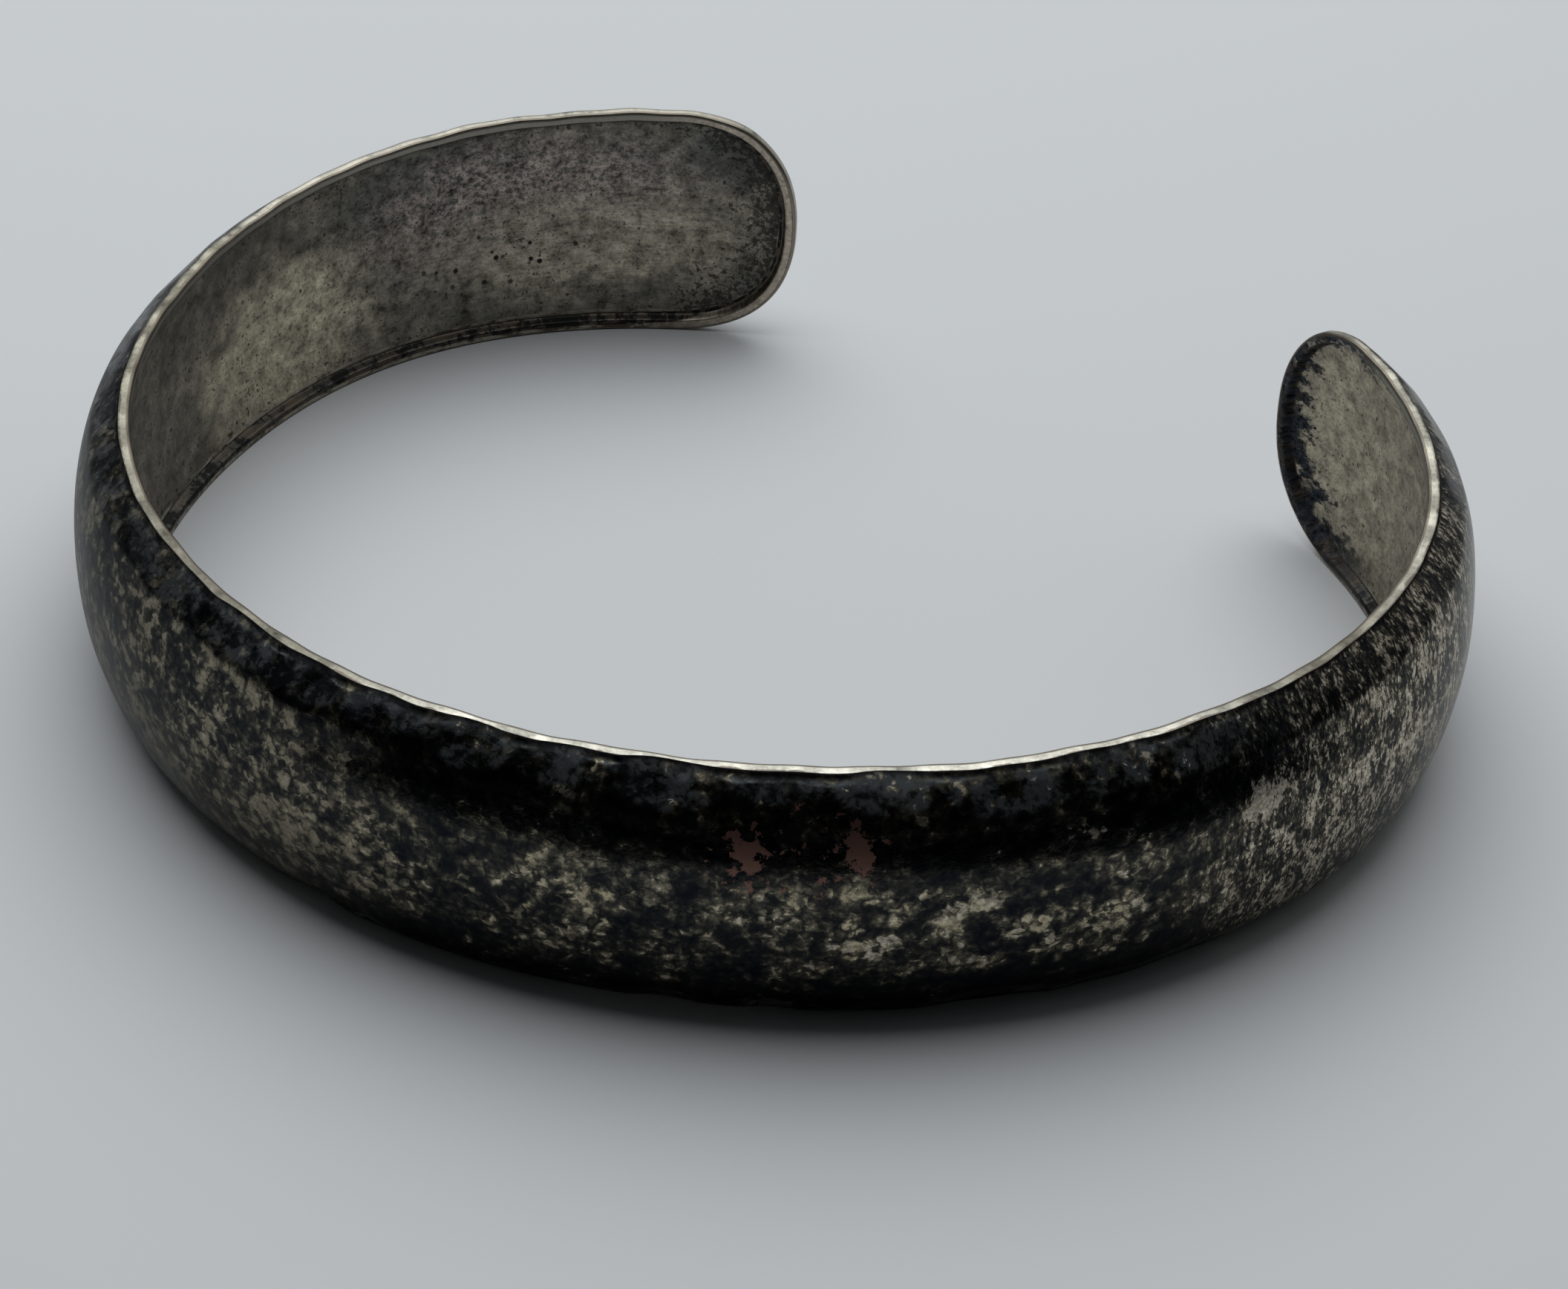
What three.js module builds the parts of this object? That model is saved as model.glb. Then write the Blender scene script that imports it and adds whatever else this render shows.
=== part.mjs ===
// Open cuff bracelet, worn on the wrist: one band of silver, domed outside, with a recessed
// inner face inside a raised rim, rounded ends and hammered edges.
// Units are millimetres, +Z is up, +Y points to the open gap, and the origin is
// below the middle of the outline box, at the level the band lies on.
import * as THREE from 'three';

// The flat strip before it is bent
const stripLength = 152.0;
const widthAtFront = 12.4;
const widthAtEnds = 13.1;
const endRoundLength = 6.7;
const endRoundPower = 2.34;

// Section through the band, measured outward from the inner face of the rim
const domeHeight = 2.8;
const domePower = 0.6;
const innerEdgeRadius = 0.12;
const edgeFlatWidth = 0.38;
const outerEdgeRadius = 0.2;
const rimBandWidth = 0.5;
const recessStep = 0.5;
const recessStepRun = 0.24;
const recessCrown = 0.42;

// Flattened spots that a hammer left along both outer edges
const hammerPitch = 4.4;
const hammerDepth = 0.14;
const hammerSpread = 1.25;
const hammerDriftLength = 56.0;
const hammerDriftTurn = 0.9;
const hammerSoftness = 0.8;

// Bend of the inner face from the front to each end: place as a share of half the strip,
// bend radius of the left and right side as a share of the front's
const frontBendRadius = 29.2;
const bends = [
  { place: 0, left: 1, right: 1 },
  { place: 0.18, left: 0.98, right: 1.31 },
  { place: 0.37, left: 0.89, right: 1.04 },
  { place: 0.55, left: 1.26, right: 0.89 },
  { place: 0.74, left: 0.67, right: 0.76 },
  { place: 1, left: 1.23, right: 0.89 },
];

// Faceting, with the rings of the dome and the recess as shares of the way to the middle line
const walkStep = 0.25;
const sideSteps = 118;
const endSteps = 32;
const domeShares = [0.035, 0.08, 0.15, 0.26, 0.4, 0.56, 0.72, 0.87, 1];
const recessShares = [1, 0.65, 0.3];
const cornersPerMillimetre = 10000;

const halfStrip = stripLength / 2;
const straightReach = halfStrip - endRoundLength;
const rimThickness = innerEdgeRadius + edgeFlatWidth + outerEdgeRadius;
const recessFoot = rimBandWidth + recessStepRun;
const roundMiddle = 1 - Math.SQRT1_2;

function widthAt(along) {
  return widthAtFront + (widthAtEnds - widthAtFront) * (along / halfStrip) ** 2;
}

// Curvature of one side at a distance from the front, straight between the stations
function curvature(distance, side) {
  const place = distance / halfStrip;
  let i = 1;
  while (i < bends.length - 1 && place > bends[i].place) i += 1;
  const a = bends[i - 1];
  const b = bends[i];
  const share = (place - a.place) / (b.place - a.place);
  return ((1 - share) / a[side] + share / b[side]) / frontBendRadius;
}

// Walk from the front to one end, keeping position and heading at each small step
function walkSide(side) {
  const path = [{ x: 0, y: 0, heading: 0 }];
  const count = Math.ceil(halfStrip / walkStep);
  for (let i = 0; i < count; i += 1) {
    const last = path[i];
    const turn = curvature((i + 0.5) * walkStep, side) * walkStep;
    const middle = last.heading + turn / 2;
    path.push({
      x: last.x + Math.cos(middle) * walkStep,
      y: last.y + Math.sin(middle) * walkStep,
      heading: last.heading + turn,
    });
  }
  return path;
}

const leftPath = walkSide('left');
const rightPath = walkSide('right');

// Point and outward direction of the rim's inner face at a distance along the strip
function station(along) {
  const path = along < 0 ? leftPath : rightPath;
  const hand = along < 0 ? -1 : 1;
  const steps = Math.abs(along) / walkStep;
  const i = Math.min(Math.floor(steps), path.length - 2);
  const share = steps - i;
  const a = path[i];
  const b = path[i + 1];
  const heading = a.heading + (b.heading - a.heading) * share;
  return {
    x: hand * (a.x + (b.x - a.x) * share),
    y: a.y + (b.y - a.y) * share,
    outX: hand * Math.sin(heading),
    outY: -Math.cos(heading),
  };
}

// One long side of the flat outline: distance along, level above the middle line, and the
// place on the middle line that the skin closes to
function sideOutline(from, to, face) {
  return Array.from({ length: sideSteps }, (_, i) => {
    const along = from + ((to - from) * i) / sideSteps;
    return { along, level: (face * widthAt(along)) / 2, spine: along };
  });
}

// One rounded end of the flat outline
function endOutline(hand) {
  return Array.from({ length: endSteps }, (_, i) => {
    const angle = (Math.PI * i) / endSteps;
    const reach = Math.sin(angle) ** (2 / endRoundPower);
    const rise = Math.sign(Math.cos(angle)) * Math.abs(Math.cos(angle)) ** (2 / endRoundPower);
    const along = hand * (straightReach + endRoundLength * reach);
    return { along, level: (-hand * rise * widthAt(along)) / 2, spine: hand * straightReach };
  });
}

const rimLine = [
  ...sideOutline(-straightReach, straightReach, -1),
  ...endOutline(1),
  ...sideOutline(straightReach, -straightReach, 1),
  ...endOutline(-1),
];
const around = rimLine.length;

// A point of the outline moved straight inward by a distance
function inset(i, distance) {
  const next = rimLine[(i + 1) % around];
  const back = rimLine[(i - 1 + around) % around];
  const dx = next.along - back.along;
  const dy = next.level - back.level;
  const size = Math.hypot(dx, dy);
  return {
    along: rimLine[i].along - (dy / size) * distance,
    level: rimLine[i].level + (dx / size) * distance,
  };
}

// The same point moved on toward the middle line by a share of the way
function towardSpine(i, distance, share) {
  const start = inset(i, distance);
  return {
    along: start.along + (rimLine[i].spine - start.along) * share,
    level: start.level * (1 - share),
  };
}

// Depth of the hammered spots, deepest at the rim and fading over the dome
function hammerSpot(along, fromEdge) {
  const drift = hammerDriftTurn * Math.sin((2 * Math.PI * along) / hammerDriftLength);
  const wave = Math.cos((2 * Math.PI * along) / hammerPitch + drift);
  return hammerDepth * Math.max(0, wave) ** hammerSoftness * Math.exp(-((fromEdge / hammerSpread) ** 2));
}

function domeOut(share) {
  return rimThickness + (domeHeight - rimThickness) * (1 - (1 - share) ** 2) ** domePower;
}

function recessOut(share) {
  return recessStep + recessCrown * (1 - (1 - share) ** 2);
}

// Rings of the skin, from the middle of the recess over the rim to the middle of the dome
const rings = [
  ...recessShares.map((share) => (i) => ({ ...towardSpine(i, recessFoot, share), out: recessOut(share) })),
  (i) => ({ ...inset(i, recessFoot), out: recessStep }),
  (i) => ({ ...inset(i, rimBandWidth), out: 0 }),
  (i) => ({ ...inset(i, innerEdgeRadius), out: 0 }),
  (i) => ({ ...inset(i, innerEdgeRadius * roundMiddle), out: innerEdgeRadius * roundMiddle }),
  (i) => ({ ...inset(i, 0), out: innerEdgeRadius }),
  (i) => ({ ...inset(i, 0), out: rimThickness - outerEdgeRadius }),
  (i) => ({ ...inset(i, outerEdgeRadius * roundMiddle), out: rimThickness - outerEdgeRadius * roundMiddle }),
  ...domeShares.map((share) => (i) => {
    const { along } = rimLine[i];
    const fromEdge = (share * widthAt(along)) / 2;
    return { ...towardSpine(i, 0, share), out: domeOut(share) - hammerSpot(along, fromEdge) };
  }),
];

// Bend the skin into the cuff and stand it on its lower edge, sharing corners that meet
const corners = [];
const cornerNumbers = new Map();
function cornerAt(ring, i) {
  const { along, level, out } = rings[ring](i);
  const at = station(along);
  const place = [at.x + at.outX * out, at.y + at.outY * out, widthAt(along) / 2 + level];
  const key = place.map((value) => Math.round(value * cornersPerMillimetre)).join();
  if (!cornerNumbers.has(key)) {
    cornerNumbers.set(key, corners.length);
    corners.push(place);
  }
  return cornerNumbers.get(key);
}

const grid = rings.map((_, ring) => rimLine.map((__, i) => cornerAt(ring, i)));
const faces = [];
function addFace(a, b, c) {
  if (a !== b && b !== c && c !== a) faces.push(a, b, c);
}
for (let ring = 0; ring + 1 < rings.length; ring += 1) {
  for (let i = 0; i < around; i += 1) {
    const next = (i + 1) % around;
    addFace(grid[ring][i], grid[ring][next], grid[ring + 1][next]);
    addFace(grid[ring][i], grid[ring + 1][next], grid[ring + 1][i]);
  }
}

// Bring the middle of the outline box over the origin
function middle(axis) {
  const values = corners.map((place) => place[axis]);
  return (Math.min(...values) + Math.max(...values)) / 2;
}
const shiftX = middle(0);
const shiftY = middle(1);
const positions = new Float32Array(corners.flatMap(([x, y, z]) => [x - shiftX, y - shiftY, z]));

const shape = new THREE.BufferGeometry();
shape.setAttribute('position', new THREE.BufferAttribute(positions, 3));
shape.setIndex(faces);
shape.computeVertexNormals();

const silver = new THREE.MeshStandardMaterial({ color: 0x55524d, roughness: 0.38, metalness: 0.9 });
const band = new THREE.Mesh(shape, silver);
band.name = 'cuff_band';

const bracelet = new THREE.Group();
bracelet.name = 'cuff_bracelet';
bracelet.add(band);

export default bracelet;
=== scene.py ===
"""Looks of the open cuff bracelet: a tarnished silver band that lies on its lower edge.

The band is worked out again from the same sizes as the solid, on a much finer grid, with
hammered edges, a beaten dome and a worn finish. Sizes are in millimetres until they go
into the mesh; the scene itself is in metres.
"""
import math

import bpy
import numpy as np
from mathutils import Matrix, Vector


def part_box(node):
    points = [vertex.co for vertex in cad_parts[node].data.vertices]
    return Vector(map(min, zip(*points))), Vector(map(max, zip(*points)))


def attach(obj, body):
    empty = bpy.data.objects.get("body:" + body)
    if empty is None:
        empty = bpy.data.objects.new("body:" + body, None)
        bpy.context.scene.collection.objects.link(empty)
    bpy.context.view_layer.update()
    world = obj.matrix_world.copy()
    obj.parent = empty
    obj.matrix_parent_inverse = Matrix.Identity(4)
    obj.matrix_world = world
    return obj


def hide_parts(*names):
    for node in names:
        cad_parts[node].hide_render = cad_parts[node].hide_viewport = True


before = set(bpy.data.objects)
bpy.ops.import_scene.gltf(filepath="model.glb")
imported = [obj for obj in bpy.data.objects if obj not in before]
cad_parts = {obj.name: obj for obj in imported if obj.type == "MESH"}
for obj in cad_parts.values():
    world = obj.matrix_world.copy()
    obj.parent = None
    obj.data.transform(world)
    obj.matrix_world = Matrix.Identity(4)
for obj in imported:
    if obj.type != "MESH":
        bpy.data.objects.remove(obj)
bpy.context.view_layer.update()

MM = 0.001
BODY = "root"
BAND_NODE = "cuff_band"
SKIN = "cuff_band_skin"

# The flat strip and its section, as in the solid
STRIP_LENGTH = 152.0
WIDTH_AT_FRONT = 12.4
WIDTH_AT_ENDS = 13.1
END_ROUND_LENGTH = 6.7
END_ROUND_POWER = 2.34
DOME_HEIGHT = 2.8
DOME_POWER = 0.6
INNER_EDGE_RADIUS = 0.12
EDGE_FLAT_WIDTH = 0.38
OUTER_EDGE_RADIUS = 0.2
RIM_BAND_WIDTH = 0.5
RECESS_STEP = 0.5
RECESS_STEP_RUN = 0.24
RECESS_CROWN = 0.42
FRONT_BEND_RADIUS = 29.2
BENDS = (  # place along half the strip, left and right bend radius as shares of the front's
    (0.00, 1.00, 1.00),
    (0.18, 0.98, 1.31),
    (0.37, 0.89, 1.04),
    (0.55, 1.26, 0.89),
    (0.74, 0.67, 0.76),
    (1.00, 1.23, 0.89),
)

# The hammer's flat spots along both outer edges: their row is the solid's
HAMMER_PITCH = 4.4
HAMMER_DRIFT_LENGTH = 56.0
HAMMER_DRIFT_TURN = 0.9
SPOT_HEIGHTS = (0.24, 0.72)
LOW_SPOT_LIFT = 0.40
SPOT_REACHES = (1.2, 1.8)
SPOT_ROUNDNESS = (3.5, 8.0)
SPOT_BLEND = 0.03
SPOT_COUNT = 64
SPOT_FADES = ((2.0, 18.0), (20.0, 38.0))  # where the left and right arm's spots turn into an even bevel
ARM_SPOT_HEIGHT = 0.52
ARM_SPOT_SHARE = 0.85
ARM_SPOT_ROUNDNESS = 30.0
FULLY_STRUCK = 0.06

# Low waves of the beaten metal: depth, seed and lengths on the dome, inside and along the top rim
DOME_WAVES = (0.035, 3, (9.0, 7.5, 6.0, 5.2, 4.6))
INSIDE_WAVES = (0.02, 5, (11.0, 8.0, 6.5, 4.0))
RIM_WAVES = (0.11, 9, (11.0, 7.0, 5.2, 4.1, 2.9))
DOME_WAVES_START = 1.5
RIM_WAVES_REACH = 0.6

# Grid of the band
SIDE_STEPS = 600
END_STEPS = 120
WALK_STEPS = 3040
CROWN_RINGS = 15
WALL_RINGS = 5
BORDER_INSETS = (0.38, 0.25)
RIM_RINGS = (0.33, 0.67)
INNER_EDGE_RINGS = 5
OUTER_EDGE_RINGS = 4
DOME_RINGS = 36
DOME_CROWDING = 1.6
MERGE_STEP = 1e-4
MERGE_OFFSET = 0.3

HALF_STRIP = STRIP_LENGTH / 2
STRAIGHT_REACH = HALF_STRIP - END_ROUND_LENGTH
RIM_THICKNESS = INNER_EDGE_RADIUS + EDGE_FLAT_WIDTH + OUTER_EDGE_RADIUS
RECESS_FOOT = RIM_BAND_WIDTH + RECESS_STEP_RUN


# Shape of the band

def strip_width(along):
    """Width of the flat strip: the front's, growing with the square of the way to the end."""
    return WIDTH_AT_FRONT + (WIDTH_AT_ENDS - WIDTH_AT_FRONT) * (along / HALF_STRIP) ** 2


def bent_side(column):
    """Distance, x, y and heading of one half of the inner face, front to end.

    The curvature runs straight between the stations of BENDS. The heading is its running
    sum, and the place is the running sum of the heading's cosine and sine."""
    table = np.array(BENDS)
    distance = np.linspace(0, HALF_STRIP, WALK_STEPS + 1)
    step = np.diff(distance)
    curve = np.interp(distance / HALF_STRIP, table[:, 0], 1 / table[:, column]) / FRONT_BEND_RADIUS
    heading = np.concatenate([[0], np.cumsum((curve[1:] + curve[:-1]) / 2 * step)])
    middle = (heading[1:] + heading[:-1]) / 2
    x = np.concatenate([[0], np.cumsum(np.cos(middle) * step)])
    y = np.concatenate([[0], np.cumsum(np.sin(middle) * step)])
    return distance, x, y, heading


def bend_strip(along, level, out):
    """Carries places on the flat strip onto the bent band, standing on its lower edge.

    A place is the point of the bend at its distance along, moved outward across the heading
    by out, at half the strip's width plus its level."""
    left, right = bent_side(1), bent_side(2)
    distance = np.concatenate([-left[0][::-1], right[0][1:]])
    x = np.concatenate([-left[1][::-1], right[1][1:]])
    y = np.concatenate([left[2][::-1], right[2][1:]])
    heading = np.concatenate([-left[3][::-1], right[3][1:]])
    turn = np.interp(along, distance, heading)
    return np.stack([
        np.interp(along, distance, x) + out * np.sin(turn),
        np.interp(along, distance, y) - out * np.cos(turn),
        strip_width(along) / 2 + level,
    ], -1)


def rim_outline():
    """Outline of the flat strip as along, level and the place on the middle line behind it.

    Two long sides at half the width, and two ends that are superellipse quarters: the
    reach is the sine and the rise the cosine of the turn, each to the power 2 / n."""
    share = np.arange(SIDE_STEPS) / SIDE_STEPS
    low_side = -STRAIGHT_REACH + 2 * STRAIGHT_REACH * share
    turn = np.pi * np.arange(END_STEPS) / END_STEPS
    reach = END_ROUND_LENGTH * np.sin(turn) ** (2 / END_ROUND_POWER)
    rise = np.sign(np.cos(turn)) * np.abs(np.cos(turn)) ** (2 / END_ROUND_POWER)
    ends = np.full(END_STEPS, STRAIGHT_REACH)
    along = np.concatenate([low_side, STRAIGHT_REACH + reach, -low_side, -STRAIGHT_REACH - reach])
    side = np.concatenate([np.full(SIDE_STEPS, -1.0), -rise, np.full(SIDE_STEPS, 1.0), rise])
    spine = np.concatenate([low_side, ends, -low_side, -ends])
    return along, side * strip_width(along) / 2, spine


def quarter_round(radius, steps):
    """Offsets along the two faces of a rounded corner, from one face to the other."""
    turn = np.linspace(0, np.pi / 2, steps)
    return radius * (1 - np.sin(turn)), radius * (1 - np.cos(turn))


def section_rings():
    """Rings of the skin from the middle of the recess, over the rim, to the dome's middle.

    Each ring has an inset from the outline, a share of the way on to the middle line, an
    outward height, and its side of the skin: 0 inside, 0.4 and 0.5 on the flat of the rim,
    0.6 at the start of the outer corner, 1 outside. The recess crowns as 1 - (1 - share)
    squared, the dome as the same to the power DOME_POWER, and the rim's corners are quarter
    rounds."""
    inset, share, out, outside = [], [], [], []

    def add(insets, shares, outs, is_outside):
        count = np.size(outs)
        inset.append(np.broadcast_to(insets, count))
        share.append(np.broadcast_to(shares, count))
        out.append(np.broadcast_to(outs, count))
        outside.append(np.broadcast_to(is_outside, count))

    crown = np.linspace(1, 0, CROWN_RINGS)
    add(RECESS_FOOT, crown, RECESS_STEP + RECESS_CROWN * (1 - (1 - crown) ** 2), 0.0)
    wall = np.linspace(0, 1, WALL_RINGS + 1)[1:]
    sweep = (1 - np.cos(np.pi * wall)) / 2
    add(RECESS_FOOT - RECESS_STEP_RUN * wall, 0.0, RECESS_STEP * (1 - sweep), 0.0)
    add(BORDER_INSETS, 0.0, np.zeros(len(BORDER_INSETS)), 0.0)
    inner_inset, inner_out = quarter_round(INNER_EDGE_RADIUS, INNER_EDGE_RINGS)
    add(inner_inset, 0.0, inner_out, 0.0)
    add(0.0, 0.0, INNER_EDGE_RADIUS + EDGE_FLAT_WIDTH * np.array(RIM_RINGS), (0.4, 0.5))
    outer_out, outer_inset = quarter_round(OUTER_EDGE_RADIUS, OUTER_EDGE_RINGS)
    add(outer_inset, 0.0, RIM_THICKNESS - outer_out, (0.6, 1.0, 1.0, 1.0))
    dome = np.linspace(0, 1, DOME_RINGS + 1)[1:] ** DOME_CROWDING
    dome = dome[dome * WIDTH_AT_FRONT / 2 > OUTER_EDGE_RADIUS]
    add(0.0, dome, dome_height(dome), 1.0)
    return tuple(np.concatenate(part) for part in (inset, share, out, outside))


def beaten_wave(along, level, waves):
    """Low uneven waves: the depth times the mean of cosines with random directions and
    phases, each of one of the given lengths."""
    depth, seed, lengths = waves
    rng = np.random.default_rng(seed)
    total = np.zeros_like(along)
    for length in lengths:
        turn, phase = rng.uniform(0, 2 * np.pi, 2)
        total += np.cos(2 * np.pi / length * (along * np.cos(turn) + level * np.sin(turn)) + phase)
    return depth * total / len(lengths)


def dome_height(share):
    """Height of the dome over the inner face, from the outline to the middle line."""
    return RIM_THICKNESS + (DOME_HEIGHT - RIM_THICKNESS) * (1 - (1 - share) ** 2) ** DOME_POWER


def hammer_spots(along, from_edge, is_upper, out):
    """The surface flattened by the hammer, and how deep each place was struck, from 0 to 1.

    A spot is the plane that falls from its reach on the dome to its own height at the edge,
    bent up by the square of the distance along. Toward the arms the spots grow flat and
    alike. The surface is the lower of dome and spot, blended over a small depth:
    (a + b - sqrt((a - b)^2 + blend^2)) / 2."""
    rng = np.random.default_rng(7)
    rows = (2, SPOT_COUNT)
    heights = rng.uniform(*SPOT_HEIGHTS, rows) + LOW_SPOT_LIFT * np.array([[1], [0]])
    reaches = rng.uniform(*SPOT_REACHES, rows)
    rounds = rng.uniform(*SPOT_ROUNDNESS, rows)
    shifts = rng.uniform(-0.5, 0.5, rows)
    row = is_upper.astype(int)
    nearest = np.rint(along / HAMMER_PITCH).astype(int)
    struck = out
    for step in (-1, 0, 1):
        number = nearest + step
        drift = HAMMER_DRIFT_TURN * np.sin(2 * np.pi * number * HAMMER_PITCH / HAMMER_DRIFT_LENGTH)
        pick = row, number % SPOT_COUNT
        middle = (number - drift / (2 * np.pi)) * HAMMER_PITCH + shifts[pick]
        foot = dome_height(reaches[pick] / (WIDTH_AT_FRONT / 2))
        fade = 0
        for side, (start, end) in zip((-1, 1), SPOT_FADES):
            fade = np.maximum(fade, np.clip((side * middle - start) / (end - start), 0, 1))
        height = heights[pick] + ARM_SPOT_SHARE * fade * (ARM_SPOT_HEIGHT - heights[pick])
        roundness = rounds[pick] + fade * (ARM_SPOT_ROUNDNESS - rounds[pick])
        slope = (foot - height) / reaches[pick]
        plane = height + slope * from_edge + (along - middle) ** 2 / (2 * roundness)
        struck = (struck + plane - np.sqrt((struck - plane) ** 2 + SPOT_BLEND ** 2)) / 2
    return struck, np.clip((out - struck) / FULLY_STRUCK, 0, 1)


def band_surface():
    """The whole skin as rings by outline points, with the patterns' own coordinates.

    Returns places, the distance along, the level, the way across measured on the skin, the
    distance in from the outline, how far the hammer struck, and the side of the skin. The
    hammer's spots cut the dome and the flat of the rim, low waves run over the dome and the
    inside, and the top rim dips in waves that die out with the distance from it."""
    along0, level0, spine0 = rim_outline()
    d_along = np.roll(along0, -1) - np.roll(along0, 1)
    d_level = np.roll(level0, -1) - np.roll(level0, 1)
    size = np.hypot(d_along, d_level)
    inset, share, out, outside = (part[:, None] for part in section_rings())
    along = along0 - d_level / size * inset
    level = level0 + d_along / size * inset
    along = along + (spine0 - along) * share
    level = level * (1 - share)
    half_width = strip_width(along0) / 2
    from_edge = share * half_width + inset
    dome = outside == 1
    flat = np.zeros_like(along)
    struck, spot = hammer_spots(along0 + flat, from_edge, level0 + flat > 0, out + flat)
    beating = beaten_wave(along, level, DOME_WAVES) * np.clip(from_edge / DOME_WAVES_START, 0, 1)
    stretching = beaten_wave(along, level, INSIDE_WAVES) * np.clip(from_edge - RECESS_FOOT, 0, 1)
    rim_flat = (outside > 0) & ~dome
    inner = out + np.where(outside == 0, stretching, 0)
    out = np.where(dome, struck + beating, np.where(rim_flat, np.minimum(out, struck), inner))
    dip = RIM_WAVES[0] + beaten_wave(along, flat, RIM_WAVES)
    level = level - np.where(level0 > 0, dip * np.exp(-(from_edge / RIM_WAVES_REACH) ** 2), 0)
    places = bend_strip(along, level, out)
    stretch = np.linalg.norm(np.diff(bend_strip(flat, level, out), axis=0), axis=-1)
    across = np.concatenate([np.zeros((1, len(along0))), np.cumsum(stretch, axis=0)])
    return places, along, level, across, from_edge, np.where(dome, spot, 0), outside + flat


def grid_mesh(name, places, along, level):
    """A closed skin from rings of points, and which of the points it keeps.

    Quads run between the rings. The points of a ring that share their along and level
    are merged, which folds the first and the last ring shut on the middle line. A quad
    that loses a corner becomes a triangle, one that loses two goes."""
    rings, around = places.shape[:2]
    ring, column = np.meshgrid(np.arange(rings - 1), np.arange(around), indexing="ij")
    beside = (column + 1) % around
    quads = np.stack([
        ring * around + column, ring * around + beside,
        (ring + 1) * around + beside, (ring + 1) * around + column,
    ], -1).reshape(-1, 4)
    points = places.reshape(-1, 3)
    own_ring = np.broadcast_to(np.arange(rings)[:, None], (rings, around))
    key = np.stack([own_ring, along / MERGE_STEP + MERGE_OFFSET, level / MERGE_STEP + MERGE_OFFSET], -1)
    key = np.round(key.reshape(-1, 3)).astype(np.int64)
    _, first, number = np.unique(key, axis=0, return_index=True, return_inverse=True)
    number = number.reshape(-1)
    order = np.argsort(first)
    rank = np.empty(len(order), int)
    rank[order] = np.arange(len(order))
    quads = rank[number[quads]]
    kept = first[order]
    same = quads == np.roll(quads, -1, axis=1)
    whole = quads[~same.any(1)]
    is_folded = same.sum(1) == 1
    folded = quads[is_folded][~same[is_folded]].reshape(-1, 3)
    mesh = bpy.data.meshes.new(name)
    mesh.from_pydata(points[kept] * MM, [], whole.tolist() + folded.tolist())
    mesh.update()
    return mesh, kept


def add_float(mesh, name, values):
    """Stores one number for each point, for the finish to read."""
    layer = mesh.attributes.new(name, "FLOAT", "POINT")
    layer.data.foreach_set("value", np.ascontiguousarray(values, dtype=np.float32))


def make_band():
    """The band's fine skin, in place over its solid, with its pattern coordinates."""
    places, along, level, across, from_edge, spot, outside = band_surface()
    low, high = places.reshape(-1, 3).min(0), places.reshape(-1, 3).max(0)
    node_low, node_high = (np.array(corner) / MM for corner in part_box(BAND_NODE))
    shift = (node_low + node_high) / 2 - (low + high) / 2
    shift[2] = 0
    mesh, kept = grid_mesh(SKIN, places + shift, along, level)
    from_middle = np.where(outside > 0, across[-1] - across, across)
    numbers = {
        "along": along,
        "level": level,
        "across": np.sign(level) * from_middle,
        "from_edge": from_edge,
        "struck": spot,
        "outside": outside,
    }
    for name, grid in numbers.items():
        add_float(mesh, name, grid.reshape(-1)[kept])
    mesh.shade_smooth()
    piece = bpy.data.objects.new(SKIN, mesh)
    bpy.context.scene.collection.objects.link(piece)
    return piece


# Nodes for the finish and the light

def rgb(red, green, blue):
    return (red, green, blue, 1.0)


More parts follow.
